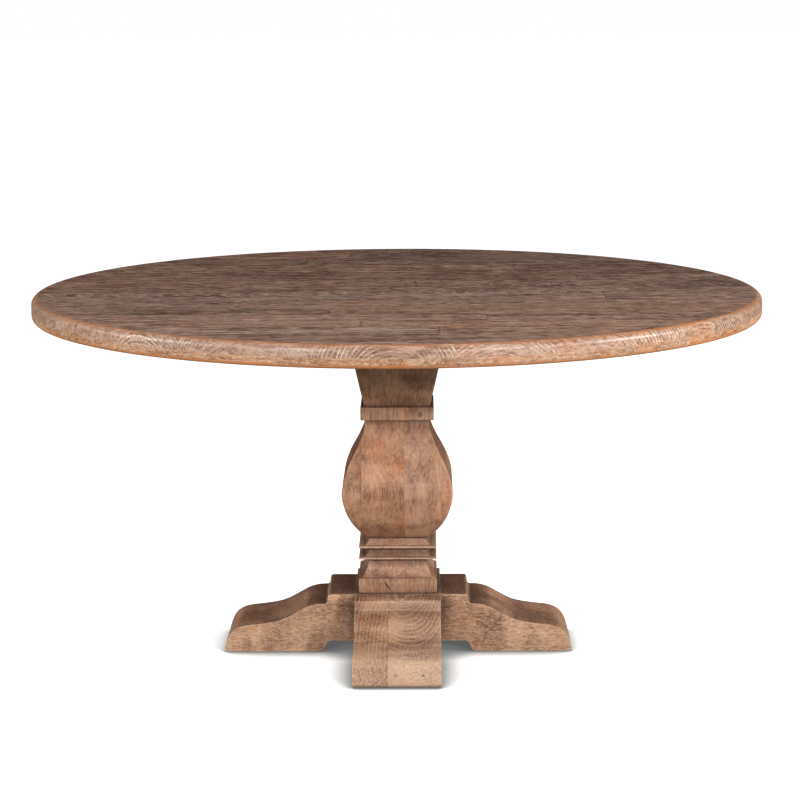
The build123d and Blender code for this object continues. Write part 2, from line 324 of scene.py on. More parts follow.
def make_figure_group() -> bpy.types.NodeTree:
    """Solid timber cut from a log whose heart runs along X: rings, fibre streaks, pores and tone.

    Returns:
        The group, which puts out one value for each part of the figure.
    """
    steered = ("Ring Width", "Waviness", "Curl", "Raggedness", "Tilt", "Fineness")
    inputs = {"Place": "Vector", **{name: "Float" for name in steered}}
    clouds = {
        "Bands": BANDS,
        "Streaks": STREAKS,
        "Specks": SPECKS,
        "Pores": PORES,
        "Tone": TONE,
        "Smear": SMEARS,
    }
    shown = ("Rings", "Chalk", "Flecks", "Relief", *clouds)
    wire, given, end = new_group("timber_figure", inputs, {name: "Float" for name in shown})
    place = given["Place"]
    radius = wire.length(wire.vector("MULTIPLY", place, (0.0, 1.0, 1.0)))
    along, _, _ = wire.split(place)
    ragged = wire.math("MULTIPLY", given["Ring Width"], given["Raggedness"])
    bent = wire.math("MULTIPLY_ADD", along, given["Tilt"], radius)
    bends = ((SLOW_BEND, given["Waviness"]), (CURLS, given["Curl"]), (QUICK_BEND, ragged))
    for cloud, amount in bends:
        bent = wire.math("MULTIPLY_ADD", cloud.sway(wire, place), amount, bent)
    turns = wire.math("DIVIDE", bent, given["Ring Width"])
    late, early, strength = TIMBER_RINGS.lay(wire, turns, wire.math("FLOOR", turns))
    fineness = wire.combine(given["Fineness"], given["Fineness"], given["Fineness"])
    look = {name: cloud.mask(wire, place) for name, cloud in clouds.items()}
    look["Flecks"] = FLECKS.mask(wire, wire.vector("MULTIPLY", place, fineness))
    look["Rings"] = wire.math("MULTIPLY", late, strength)
    chalk = wire.math("MULTIPLY", early, strength)
    look["Chalk"] = wire.math("MULTIPLY", chalk, CHALK_LENGTHS.mask(wire, place))
    relief = wire.math("MULTIPLY_ADD", look["Streaks"], 0.5, wire.math("MULTIPLY", look["Rings"], 0.5))
    look["Relief"] = wire.math("MULTIPLY_ADD", look["Pores"], -0.8, relief)
    for name, value in look.items():
        wire.feed(end[name], value)
    return wire.tree


def make_arcs_group() -> bpy.types.NodeTree:
    """End grain round an upright rim: nested arcs about hearts that lie below it, one in every span.

    Returns:
        The group, which puts out the dark rings and the chalk between them.
    """
    depth_stray = 0.05
    wobble_size = 0.022
    faintest = 0.2
    inputs = {"Spot": "Vector", "Radius": "Float", "Span": "Float", "Depth": "Float", "Ring Width": "Float"}
    wire, given, end = new_group("end_grain_arcs", inputs, {"Rings": "Float", "Chalk": "Float"})
    spot = given["Spot"]
    x, y, z = wire.split(spot)
    along = wire.math("MULTIPLY", wire.math("ARCTAN2", y, x), given["Radius"])
    cell = wire.math("FLOOR", wire.math("DIVIDE", along, given["Span"]))
    draw = wire.draw(cell)
    heart = wire.math("MULTIPLY", wire.math("ADD", cell, draw), given["Span"])
    second_draw = wire.math("FRACT", wire.math("MULTIPLY", draw, 7.0))
    low = wire.math("MULTIPLY_ADD", second_draw, depth_stray, given["Depth"])
    flat = wire.combine(wire.math("SUBTRACT", along, heart), wire.math("SUBTRACT", z, low), 0.0)
    wobble = wire.math("MULTIPLY", ARC_WOBBLE.sway(wire, spot), wobble_size)
    turns = wire.math("DIVIDE", wire.math("ADD", wire.length(flat), wobble), given["Ring Width"])
    ring = wire.math("ADD", wire.math("FLOOR", turns), wire.math("MULTIPLY", cell, 7.3))
    late, early, strength = ARC_RINGS.lay(wire, turns, ring)
    strength = wire.math("MULTIPLY", strength, ARC_PATCHES.mask(wire, spot, faintest))
    wire.feed(end["Rings"], wire.math("MULTIPLY", late, strength))
    chalk = wire.math("MULTIPLY", early, strength)
    wire.feed(end["Chalk"], wire.math("MULTIPLY", chalk, ARC_GAPS.mask(wire, spot)))
    return wire.tree


def make_wear_and_shade_group() -> bpy.types.NodeTree:
    """Where a piece is rubbed light at its edges, and where its corners are darkened by dirt and painted
    shade.

    Returns:
        The group, which puts out the two masks.
    """
    inputs = {"Place": "Vector", "Edge Reach": "Float", "Corner Reach": "Float"}
    wire, given, end = new_group("rubbed_edges_and_corner_shade", inputs, {"Rubbed": "Float", "Corner Dirt And Shade": "Float"})
    reach = {"Distance": given["Edge Reach"]}
    edge = wire.add("ShaderNodeAmbientOcclusion", reach, inside=True, only_local=True, samples=4)
    near = wire.spread(edge["AO"], 0.92, 0.50)
    patches = wire.math("MULTIPLY_ADD", RUBBED_PATCHES.mask(wire, given["Place"]), 0.8, 0.2)
    # Painted shade with some dirt: the corners that the AO finds are darkened.
    reach = {"Distance": given["Corner Reach"]}
    corner = wire.add("ShaderNodeAmbientOcclusion", reach, inside=False, only_local=False, samples=4)
    wire.feed(end["Rubbed"], wire.math("MULTIPLY", near, patches, clamp=True))
    wire.feed(end["Corner Dirt And Shade"], wire.spread(corner["AO"], 0.90, 0.45))
    return wire.tree


GROUPS = {"figure": make_figure_group(), "arcs": make_arcs_group(), "wear_and_shade": make_wear_and_shade_group()}


# ---- Finishes ------------------------------------------------------------------------------------
@dataclass(frozen=True)
class Mark:
    """A knot or a crack: a dark, ragged spot of the given half sizes, with rings bent round it."""

    centre: Triple
    half_size: Triple
    turn: Triple = (0.0, 0.0, 0.0)
    bend: float = 0.012
    bend_reach: float = 3.0
    darkness: float = 0.75

    def nearness(self, wire: Wiring, spot: Socket) -> Socket:
        """How many half sizes a place is from the mark's middle."""
        laid = {"Vector": spot, "Location": self.centre, "Rotation": self.turn, "Scale": self.half_size}
        return wire.length(wire.add("ShaderNodeMapping", laid, vector_type="TEXTURE")["Vector"])

    def press(self, wire: Wiring, spot: Socket, place: Socket) -> tuple[Socket, Socket]:
        """Bend the figure round the mark.

        Args:
            wire: The material's wiring.
            spot: The place on the table.
            place: The place in the log.

        Returns:
            The place in the log with the bend, and how dark the mark makes it.
        """
        near = self.nearness(wire, spot)
        push = wire.math("MULTIPLY", wire.spread(near, self.bend_reach, 0.0), self.bend)
        bent = wire.vector("ADD", place, wire.combine(0.0, push, push))
        ragged = wire.math("MULTIPLY_ADD", RAGGED_MARK.level(wire, spot), 0.9, near)
        return bent, wire.math("MULTIPLY", wire.spread(ragged, 1.55, 1.0), self.darkness)


@dataclass(frozen=True)
class Sawing:
    """How pieces are cut from their logs, and how far they may differ.

    The depth is the least and most distance from the log's heart to a piece's middle. The spread is
    how far a piece's brightness may stray. The lean is the least and most degrees from its flat side
    to the heart. The tilt is the most that its fibres may run out of its length, as a slope.
    """

    depth: tuple[float, float] = (0.03, 0.09)
    spread: float = 0.07
    lean: tuple[float, float] = (55.0, 125.0)
    tilt: float = 0.06


@dataclass(frozen=True)
class Shade:
    """What sets one piece of timber apart: where in its log it was cut, and its tint."""

    heart: tuple[float, float]
    along: float
    centre: Vector
    base: float
    ring_scale: float = 1.0
    tilt: float = 0.0
    lift: float = 0.0
    hue: float = 0.0
    saturation: float = 1.0
    value: float = 1.0

    @classmethod
    def pick(cls, node: str, sawing: Sawing = Sawing()) -> "Shade":
        """Draw a piece's shade from a seed that is its own name.

        Args:
            node: The piece's CAD node.
            sawing: How pieces of its kind are cut.

        Returns:
            The shade.
        """
        draw = random.Random(node)
        low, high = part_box(node)
        spread = sawing.spread
        angle = math.radians(draw.uniform(*sawing.lean)) * draw.choice((-1, 1))
        reach = draw.uniform(*sawing.depth)
        return cls(
            heart=(reach * math.cos(angle), reach * math.sin(angle)),
            along=draw.uniform(-5.0, 5.0),
            centre=(low + high) / 2,
            base=low.z,
            ring_scale=draw.uniform(0.8, 1.25),
            tilt=draw.uniform(sawing.tilt / 8, sawing.tilt) * draw.choice((-1, 1)),
            lift=draw.uniform(-spread, spread) * 1.4,
            hue=draw.uniform(-0.003, 0.002),
            saturation=draw.uniform(0.94, 1.08),
            value=draw.uniform(1 - spread, 1 + spread),
        )

    def lifted(self, amount: float) -> "Shade":
        """The same shade with lighter wood, or darker by an amount under nought."""
        return replace(self, lift=self.lift + amount)

    def log_offset(self, turn: Triple) -> Vector:
        """The Mapping location that puts the piece at its place in the log."""
        middle = Euler(turn).to_matrix() @ self.centre
        return Vector((self.along, self.heart[0], self.heart[1])) - Vector((0.0, middle.y, middle.z))


@dataclass(frozen=True)
class RimWear:
    """The round edge of the top, rubbed lighter than its face, with a warm line where that starts."""

    radius: float
    round_over: float
    depth: float
    dark: Colour = (0.15, 0.062, 0.030)
    light: Colour = (0.43, 0.285, 0.20)
    chalk: Colour = (0.70, 0.56, 0.44)
    line: Colour = (0.38, 0.165, 0.07)
    ring_width: float = 0.0072
    ring_share: float = 0.45
    span: float = 0.27
    stray: float = 0.008
    inset: float = 0.002
    line_place: tuple[float, float] = (-0.005, 0.001)
    rubbed_place: tuple[float, float] = (0.003, 0.010)
    polish: float = 0.9
    polish_roughness: float = 0.38

    def blend(self, wire: Wiring, spot: Socket, body: Socket, face: Socket) -> tuple[Socket, Socket]:
        """Lay the rubbed colours over the face's colour near the edge.

        Args:
            wire: The material's wiring.
            spot: The place on the object.
            body: The figure's share of light wood.
            face: The colour of the top's face.

        Returns:
            The blended colour, and where the wood is rubbed.
        """
        ragged = wire.math("MULTIPLY_ADD", RAGGED_RIM.sway(wire, spot), self.stray, wire.off_axis(spot))
        start = self.radius - self.round_over + self.inset
        arcs = wire.group(
            GROUPS["arcs"],
            spot=spot,
            radius=self.radius,
            span=self.span,
            depth=self.depth,
            ring_width=self.ring_width,
        )
        share = wire.math("MULTIPLY_ADD", body, 0.9, 0.08)
        share = wire.math("MULTIPLY_ADD", arcs["Rings"], -self.ring_share, share, clamp=True)
        edge = wire.mix(share, opaque(self.dark), opaque(self.light))
        edge = wire.mix(arcs["Chalk"], edge, opaque(self.chalk))
        line_in, line_out = self.line_place
        rubbed_in, rubbed_out = self.rubbed_place
        in_line = wire.spread(ragged, start + line_in, start + line_out, 0.0, LINE_COVER)
        lined = wire.mix(in_line, face, opaque(self.line))
        rubbed = wire.spread(ragged, start + rubbed_in, start + rubbed_out)
        return wire.mix(rubbed, lined, edge), rubbed


@dataclass(frozen=True)
class WoodFinish:
    """One stained and waxed wood.

    The shares say how much each part of the figure lightens or darkens the wood. The painted shades
    and light say how much darker or lighter it is painted on its top, on its sides, high up and far
    out, for the tabletop's shade and the lamps; the seam drop says how much darker it is at joints.
    """

    dark: Colour
    light: Colour
    warm: Colour
    chalk: Colour
    rubbed: Colour
    # Near black, for knots and cracks, and for dirt and painted shade in corners.
    dark_marks_and_shade: Colour = (0.035, 0.014, 0.009)
    ring_width: float = 0.0075
    waviness: float = 0.06
    curl: float = 0.0
    raggedness: float = 0.7
    ring_share: float = 0.40
    band_share: float = 0.30
    streak_share: float = 0.35
    fleck_share: float = 0.3
    tone_share: float = 0.25
    smear_share: float = 0.2
    warm_share: float = 0.5
    chalk_share: float = 0.5
    speck_share: float = 0.0
    pore_share: float = 0.4
    rubbed_share: float = 0.6
    # How strongly corners are darkened by dirt and painted shade.
    corner_dirt_and_shade_share: float = 0.8
    edge_reach: float = 0.005
    corner_reach: float = 0.022
    fineness: float = 1.0
    # Painted light far out, beyond the tabletop's shade, with painted shade near the column.
    far_painted_light: float = 0.0
    far_chalk: float = 0.0
    # Painted shade on upward faces, which the tabletop keeps from the light.
    top_painted_shade: float = 0.0
    seam_drop: float = 0.0
    # Painted shade high up, where the tabletop shades the column.
    high_painted_shade: float = 0.0
    # Painted shade on faces that turn aside from the frontal lamps.
    side_painted_shade: float = 0.0
    hem: Colour | None = None
    roughness: float = 0.5
    shine: float = 0.3
    tone_gloss: float = 0.12
    streak_gloss: float = 0.08
    relief: float = 0.0004
    relief_share: float = 0.8

    def cut(
        self,
        wire: Wiring,
        spot: Socket,
        turn: Triple,
        shade: Shade,
        marks: Iterable[Mark],
    ) -> tuple[Socket, object]:
        """Find where in its log each place of the piece lies.

        Args:
            wire: The material's wiring.
            spot: The place on the table.
            turn: The turn that brings the fibres onto X.
            shade: Where in the log the piece was cut.
            marks: Its knots and cracks.

        Returns:
            The place in the log, and how dark the marks make it.
        """
        laid = {"Vector": spot, "Rotation": turn, "Location": shade.log_offset(turn)}
        place = wire.add("ShaderNodeMapping", laid, vector_type="POINT")["Vector"]
        darkened = 0.0
        for mark in marks:
            place, dark_spot = mark.press(wire, spot, place)
            darkened = wire.math("MAXIMUM", darkened, dark_spot)
        return place, darkened

    def lightness(
        self, wire: Wiring, coordinates: bpy.types.NodeOutputs, figure: bpy.types.NodeOutputs, lift: float
    ) -> Socket:
        """The share of light wood, from the figure, with painted shade and light by where a place is.

        Args:
            wire: The material's wiring.
            coordinates: The Texture Coordinate node's outputs.
            figure: The figure group's outputs.
            lift: How much lighter than its neighbours the piece is.

        Returns:
            The share, still without joints and rings.
        """
        shares = {
            "Bands": self.band_share,
            "Streaks": self.streak_share,
            "Flecks": self.fleck_share,
            "Tone": self.tone_share,
            "Smear": self.smear_share,
        }
        body = 0.5 + lift + self.ring_share / 4 - sum(shares.values()) / 2
        for look, share in shares.items():
            body = wire.math("MULTIPLY_ADD", figure[look], share, body)
        reach = wire.off_axis(coordinates["Object"])
        # Painted light and shade: the wood is darkened near the column and lightened far out, beyond the
        # tabletop's shade.
        body = wire.math("ADD", body, wire.spread(reach, *FAR_OUT, -self.far_painted_light / 3, self.far_painted_light))
        aside, _, rise = wire.split(coordinates["Normal"])
        # Painted shade: upward faces are darkened under the tabletop, most near the column.
        shaded_top = wire.spread(reach, *NEAR_COLUMN, -COLUMN_SHADE_DEPTH * self.top_painted_shade, -self.top_painted_shade)
        body = wire.math("MULTIPLY_ADD", wire.spread(rise, *FACING_UP), shaded_top, body)
        _, _, height = wire.split(coordinates["Object"])
        # Painted shade: the wood is darkened high up, under the tabletop.
        body = wire.math("ADD", body, wire.spread(height, *HIGH_UP, 0.0, -self.high_painted_shade))
        # Painted shade: faces that turn aside are darkened.
        shaded_side = wire.spread(wire.math("ABSOLUTE", aside), *FACING_ASIDE, 0.0, -self.side_painted_shade)
        return wire.math("ADD", body, shaded_side)

    def off_joint(self, wire: Wiring, spot: Socket, joints: tuple[Vector, Vector]) -> Socket:
        """How far a place is from the piece's nearest glued side.

        Args:
            wire: The material's wiring.
            spot: The place on the table.
            joints: The low and high corners of a box whose sides are the glued faces.

        Returns:
            The distance's socket.
        """
        from_low = wire.vector("SUBTRACT", spot, joints[0])
        to_high = wire.vector("SUBTRACT", joints[1], spot)
        x, y, z = wire.split(wire.vector("MINIMUM", from_low, to_high))
        return wire.math("MINIMUM", wire.math("MINIMUM", x, y), z)

    def limed(self, wire: Wiring, spot: Socket, figure: bpy.types.NodeOutputs, face: object) -> Socket:
        """Where the wood is pale with chalky filler.

        Args:
            wire: The material's wiring.
            spot: The place on the table.
            figure: The figure group's outputs.
            face: Where chalk shows in the rings: 1, or less on a polished edge.

        Returns:
            The filler's share.
        """
        share = wire.math("MULTIPLY", wire.math("MULTIPLY", figure["Chalk"], self.chalk_share), face)
        share = wire.math("MAXIMUM", share, wire.math("MULTIPLY", figure["Specks"], self.speck_share))
        far = wire.spread(wire.off_axis(spot), *LIMED_OUT, 0.0, self.far_chalk)
        broken = wire.math("MULTIPLY_ADD", figure["Flecks"], 0.8, 0.2)
        share = wire.math("MAXIMUM", share, wire.math("MULTIPLY", far, broken))
        return wire.math("MAXIMUM", share, wire.math("MULTIPLY", figure["Pores"], self.pore_share))

    def hemmed(self, wire: Wiring, spot: Socket, base: float) -> Socket:
        """Where the warm hem shows, low on the outer edge.

        Args:
            wire: The material's wiring.
            spot: The place on the table.
            base: The height of the piece's underside.

        Returns:
            The hem's share.
        """
        _, _, height = wire.split(spot)
        ragged = wire.math("MULTIPLY_ADD", RAGGED_HEM.level(wire, spot), HEM_STRAY, height)
        outside = wire.spread(wire.off_axis(spot), *HEM_REACH)
        low = wire.spread(ragged, base + HEM_START, base + HEM_FULL, 0.0, LINE_COVER)
        return wire.math("MULTIPLY", outside, low)

    def wear_and_corner_shade(self, wire: Wiring, spot: Socket, place: Socket, colour: Socket, open_side: object) -> Socket:
        """Rub the open edges lighter and darken the corners with dirt and painted shade.

        Args:
            wire: The material's wiring.
            spot: The place on the table.
            place: The place in the log.
            colour: The colour so far.
            open_side: 1 away from glued joints.

        Returns:
            The colour, rubbed at its edges and with painted shade in its corners.
        """
        reaches = {"edge_reach": self.edge_reach, "corner_reach": self.corner_reach}
        wear_and_shade = wire.group(GROUPS["wear_and_shade"], place=place, **reaches)
        rubbed = wire.math("MULTIPLY", open_side, self.rubbed_share)
        rubbed = wire.math("MULTIPLY", wear_and_shade["Rubbed"], rubbed)
        colour = wire.mix(rubbed, colour, opaque(self.rubbed))
        # Painted shade with some dirt in corners, held off where the piece meets the floor.
        _, _, height = wire.split(spot)
        off_floor = wire.spread(height, *OFF_FLOOR, 0.0, self.corner_dirt_and_shade_share)
        return wire.mix(wire.math("MULTIPLY", wear_and_shade["Corner Dirt And Shade"], off_floor), colour, opaque(self.dark_marks_and_shade))

    def make(
        self,
        name: str,
        grain: Grain | float,
        shade: Shade,
        rim: RimWear | None = None,
        marks: Iterable[Mark] = (),
        joints: tuple[Vector, Vector] | None = None,
    ) -> bpy.types.Material:
        """The finish on one piece of timber.

        Args:
            name: The material's name.
            grain: How its fibres run, or the turn about Z that brings them onto X.
            shade: What sets this piece apart from the next one.
            rim: Where the top's round edge is rubbed lighter, or None.
            marks: Its knots and cracks.
            joints: A box whose sides are the piece's glued faces, where stain has soaked in, or None.

        Returns:
            The material.
        """
        material, wire, shader = new_material(name)
        coordinates = wire.add("ShaderNodeTexCoord")
        spot = coordinates["Object"]
        turn = grain.value if isinstance(grain, Grain) else (0.0, 0.0, grain)
        place, darkened = self.cut(wire, spot, turn, shade, marks)
        figure = wire.group(
            GROUPS["figure"],
            place=place,
            ring_width=self.ring_width * shade.ring_scale,
            waviness=self.waviness,
            curl=self.curl,
            raggedness=self.raggedness,
            tilt=shade.tilt,
            fineness=self.fineness,
        )
        body = self.lightness(wire, coordinates, figure, shade.lift)
        open_side = 1.0
        if joints is not None:
            off_joint = self.off_joint(wire, spot, joints)
            body = wire.math("ADD", body, wire.spread(off_joint, *JOINT_STAIN, 0.0, -self.seam_drop))
            open_side = wire.spread(off_joint, *OPEN_WOOD)
        body = wire.math("MULTIPLY_ADD", figure["Rings"], -self.ring_share, body, clamp=True)
        colour = wire.mix(body, opaque(self.dark), opaque(self.light))
        face = 1.0
        if rim is not None:
            colour, polished = rim.blend(wire, spot, body, colour)
            wire.feed(shader["Coat Weight"], wire.math("MULTIPLY", polished, rim.polish))
            shader["Coat Roughness"].default_value = rim.polish_roughness
            face = wire.math("SUBTRACT", 1.0, polished)
        warmed = wire.mix(1.0, colour, opaque(self.warm), "MULTIPLY")
        patches = wire.math("MULTIPLY", WARM_PATCHES.mask(wire, place), self.warm_share)
        colour = wire.mix(patches, colour, warmed)
        colour = wire.mix(self.limed(wire, spot, figure, face), colour, opaque(self.chalk))
        if self.hem is not None:
            colour = wire.mix(self.hemmed(wire, spot, shade.base), colour, opaque(self.hem))
        colour = self.wear_and_corner_shade(wire, spot, place, colour, open_side)
        colour = wire.mix(darkened, colour, opaque(self.dark_marks_and_shade))
        tint = {
            "Hue": 0.5 + shade.hue,
            "Saturation": shade.saturation,
            "Value": shade.value,
            "Color": colour,
        }
        wire.feed(shader["Base Color"], wire.add("ShaderNodeHueSaturation", tint)["Color"])
        least = self.roughness - self.tone_gloss / 2
        rough = wire.math("MULTIPLY_ADD", figure["Tone"], self.tone_gloss, least)
        rough = wire.math("MULTIPLY_ADD", figure["Streaks"], self.streak_gloss, rough, clamp=True)
        wire.feed(shader["Roughness"], rough)
        shader["Specular IOR Level"].default_value = self.shine
        wire.feed(shader["Normal"], wire.bump(figure["Relief"], self.relief_share, self.relief))
        return material


@dataclass(frozen=True)
class PlainFinish:
    """Metal or plastic with fine scratches and uneven gloss."""

    colour: Colour
    metallic: float
    roughness: float
    scratch_scale: float
    dullest: float = 0.7
    gloss_stray: float = 0.25
    polish: float = 0.1
    relief: float = 0.0001
    relief_share: float = 0.4

    def make(self, name: str) -> bpy.types.Material:
        """The finish as a material.

        Args:
            name: The material's name.

        Returns:
            The material.
        """
        material, wire, shader = new_material(name)
        scratches = Cloud((self.scratch_scale,) * 3, 4.0, 0.65, 0.3, 0.7)
        level = scratches.level(wire, wire.add("ShaderNodeTexCoord")["Object"])
        shown = wire.spread(level, scratches.start, scratches.full)
        dull = tuple(part * self.dullest for part in self.colour)
        wire.feed(shader["Base Color"], wire.mix(shown, opaque(dull), opaque(self.colour)))
        least = self.roughness - self.polish
        rough = wire.math("MULTIPLY_ADD", level, self.gloss_stray, least, clamp=True)
        wire.feed(shader["Roughness"], rough)
        shader["Metallic"].default_value = self.metallic
        wire.feed(shader["Normal"], wire.bump(level, self.relief_share, self.relief))
        return material


TOP_FACE = WoodFinish(
    dark=(0.055, 0.024, 0.016),
    light=(0.40, 0.25, 0.182),
    warm=(1.15, 0.80, 0.62),
    chalk=(0.66, 0.47, 0.37),
    rubbed=(0.44, 0.28, 0.20),
    ring_width=0.0085,
    ring_share=0.4,
    band_share=0.40,
    streak_share=0.4,
    fleck_share=0.85,
    tone_share=0.2,
    smear_share=0.12,
    chalk_share=0.7,
    speck_share=0.25,
    pore_share=0.3,
    rubbed_share=0.3,
    corner_dirt_and_shade_share=0.7,
    corner_reach=0.004,
    fineness=1.3,
    seam_drop=0.22,
    roughness=0.62,
    shine=0.08,
)
RIM_LAYER = WoodFinish(
    dark=(0.17, 0.066, 0.030),
    light=(0.45, 0.275, 0.17),
    warm=(1.0, 0.70, 0.45),
    chalk=(0.66, 0.50, 0.37),
    rubbed=(0.56, 0.36, 0.23),
    ring_share=0.25,
    band_share=0.3,
    fleck_share=0.65,
    chalk_share=0.15,
    speck_share=0.55,
    warm_share=0.7,
    corner_reach=0.004,
    fineness=2.2,
    hem=(0.45, 0.185, 0.08),
)
COLUMN_WOOD = WoodFinish(
    dark=(0.14, 0.052, 0.025),
    light=(0.45, 0.255, 0.148),
    warm=(1.05, 0.74, 0.52),
    chalk=(0.54, 0.37, 0.27),
    rubbed=(0.52, 0.34, 0.235),
    ring_share=0.14,
    band_share=0.4,
    streak_share=0.3,
    fleck_share=0.25,
    tone_share=0.3,
    smear_share=0.38,
    warm_share=0.6,
    chalk_share=0.15,
    speck_share=0.3,
    fineness=1.6,
    high_painted_shade=0.17,
    side_painted_shade=0.28,
    roughness=0.55,
)
LEG_WOOD = WoodFinish(
    dark=(0.13, 0.047, 0.023),
    light=(0.56, 0.315, 0.178),
    warm=(1.05, 0.78, 0.52),
    chalk=(0.62, 0.46, 0.33),
    rubbed=(0.56, 0.39, 0.27),
    waviness=0.08,
    curl=0.02,
    ring_share=0.08,
    band_share=0.05,
    streak_share=0.08,
    fleck_share=0.65,
    tone_share=0.35,
    smear_share=0.35,
    warm_share=0.8,
    chalk_share=0.15,
    speck_share=0.4,
    fineness=4.2,
    far_painted_light=0.10,
    top_painted_shade=0.33,
    seam_drop=0.12,
    corner_dirt_and_shade_share=0.85,
    corner_reach=0.04,
    roughness=0.55,
)
TOE_WOOD = replace(
    LEG_WOOD,
    light=(0.41, 0.245, 0.152),
    waviness=0.05,
    curl=0.004,
    raggedness=0.25,
    ring_share=0.42,
    fleck_share=0.4,
    smear_share=0.7,
    warm_share=0.5,
    chalk_share=0.6,
    far_painted_light=0.0,
    fineness=3.4,
    far_chalk=0.5,
    top_painted_shade=0.04,
)
FRAME_WOOD = WoodFinish(
    dark=(0.24, 0.13, 0.075),
    light=(0.52, 0.35, 0.22),
    warm=(1.0, 0.85, 0.65),
    chalk=(0.56, 0.42, 0.30),
    rubbed=(0.56, 0.40, 0.28),
    chalk_share=0.1,
    roughness=0.65,
    shine=0.2,
)
ZINC = PlainFinish(colour=(0.62, 0.63, 0.65), metallic=1.0, roughness=0.38, scratch_scale=180.0)
NYLON = PlainFinish(colour=(0.035, 0.03, 0.028), metallic=0.0, roughness=0.5, scratch_scale=240.0)


# ---- Meshes --------------------------------------------------------------------------------------
@dataclass
class Joiner:
    """Makes a finished piece from a CAD node: the same shape, with its edges eased as a maker does."""

    wide: float = 0.002
    fine: float = 0.00025
    segments: int = 3
    weld: float = 2e-6
    flat_angle: float = math.radians(0.5)
    corner_angle: float = math.radians(28)
    crease_angle: float = math.radians(40)
    touch: float = 0.00002

    def on_seam(self, edge: bmesh.types.BMEdge, seams: Sequence[Plane]) -> bool:
        """Whether an edge lies in one of the planes where two pieces meet."""
        ends = [vertex.co for vertex in edge.verts]
        return any(all(abs(end[axis] - value) < self.touch for end in ends) for axis, value in seams)

    def sharp(self, mesh: bmesh.types.BMesh) -> list[bmesh.types.BMEdge]:
        """The edges where two faces meet at a clear angle."""
        inner = [edge for edge in mesh.edges if len(edge.link_faces) == 2]
        return [edge for edge in inner if edge.calc_face_angle(0.0) > self.corner_angle]

    def ease(self, mesh: bmesh.types.BMesh, edges: list[bmesh.types.BMEdge], width: float) -> None:
        """Round a set of edges, which may be empty.

        Args:
            mesh: The piece's mesh.
            edges: The edges.
            width: How wide the rounding is.
        """
        if not edges:
            return
        bmesh.ops.bevel(
            mesh,
            geom=edges,
            offset=width,
            offset_type="OFFSET",
            segments=self.segments,
            profile=0.5,
            affect="EDGES",
            clamp_overlap=True,
            loop_slide=True,
            material=-1,
        )

    def shape(self, node: str, seams: Sequence[Plane], width: float) -> bpy.types.Mesh:
        """Copy a CAD node's shape and ease its edges.

        Args:
            node: The node's name.
            seams: Planes where the piece meets its neighbours, which stay nearly sharp.
            width: How far the open edges are eased.

        Returns:
            The new mesh.
        """
        mesh = bmesh.new()
        mesh.from_mesh(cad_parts[node].data)
        bmesh.ops.remove_doubles(mesh, verts=mesh.verts[:], dist=self.weld)
        bmesh.ops.dissolve_limit(
            mesh,
            angle_limit=self.flat_angle,
            verts=mesh.verts[:],
            edges=mesh.edges[:],
            use_dissolve_boundaries=False,
        )
        self.ease(mesh, [edge for edge in self.sharp(mesh) if not self.on_seam(edge, seams)], width)
        self.ease(mesh, [edge for edge in self.sharp(mesh) if self.on_seam(edge, seams)], self.fine)
        for face in mesh.faces:
            face.smooth = True
        data = bpy.data.meshes.new(f"{node}_finished")
        mesh.to_mesh(data)
        mesh.free()
        data.set_sharp_from_angle(angle=self.crease_angle)
        return data

    def make(
        self,
        node: str,
        slot: str,
        material: bpy.types.Material,
        seams: Sequence[Plane] = (),
        wide: float | None = None,
    ) -> None:
        """Build the finished piece that stands for a CAD node.

        Args:
            node: The node's name.
            slot: The record's material slot; not used.
            material: The finish.
            seams: Planes where the piece meets its neighbours.
            wide: How far the open edges are eased, or None for the usual.
        """
        data = self.shape(node, seams, self.wide if wide is None else wide)
        data.materials.append(material)
        made = bpy.data.objects.new(f"{node}_finished", data)
        bpy.context.scene.collection.objects.link(made)
        weights = made.modifiers.new("even_normals", "WEIGHTED_NORMAL")
        weights.keep_sharp = True
        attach(made, BODY)
        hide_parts(node)
        LOG.info("%s: %d faces", made.name, len(data.polygons))


# ---- The table -----------------------------------------------------------------------------------
def nodes_named(start: str) -> list[str]:
    """The CAD nodes whose names start a given way, in order."""
    return sorted(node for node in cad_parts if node.startswith(start))


def glued_sides(node: str, seams: Iterable[Plane]) -> tuple[Vector, Vector]:
    """The box of a piece with every side that isn't a glued joint moved far off.

    Args:
        node: The piece's CAD node.
        seams: The joints' planes.

    Returns:
        The box's low and high corners.
    """
    low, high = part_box(node)
    corners = Vector((-FAR_OFF,) * 3), Vector((FAR_OFF,) * 3)
    for axis, value in seams:
        for corner, side in zip(corners, (low, high)):
            if abs(side[axis] - value) < SAME_PLACE:
                corner[axis] = value
    return corners


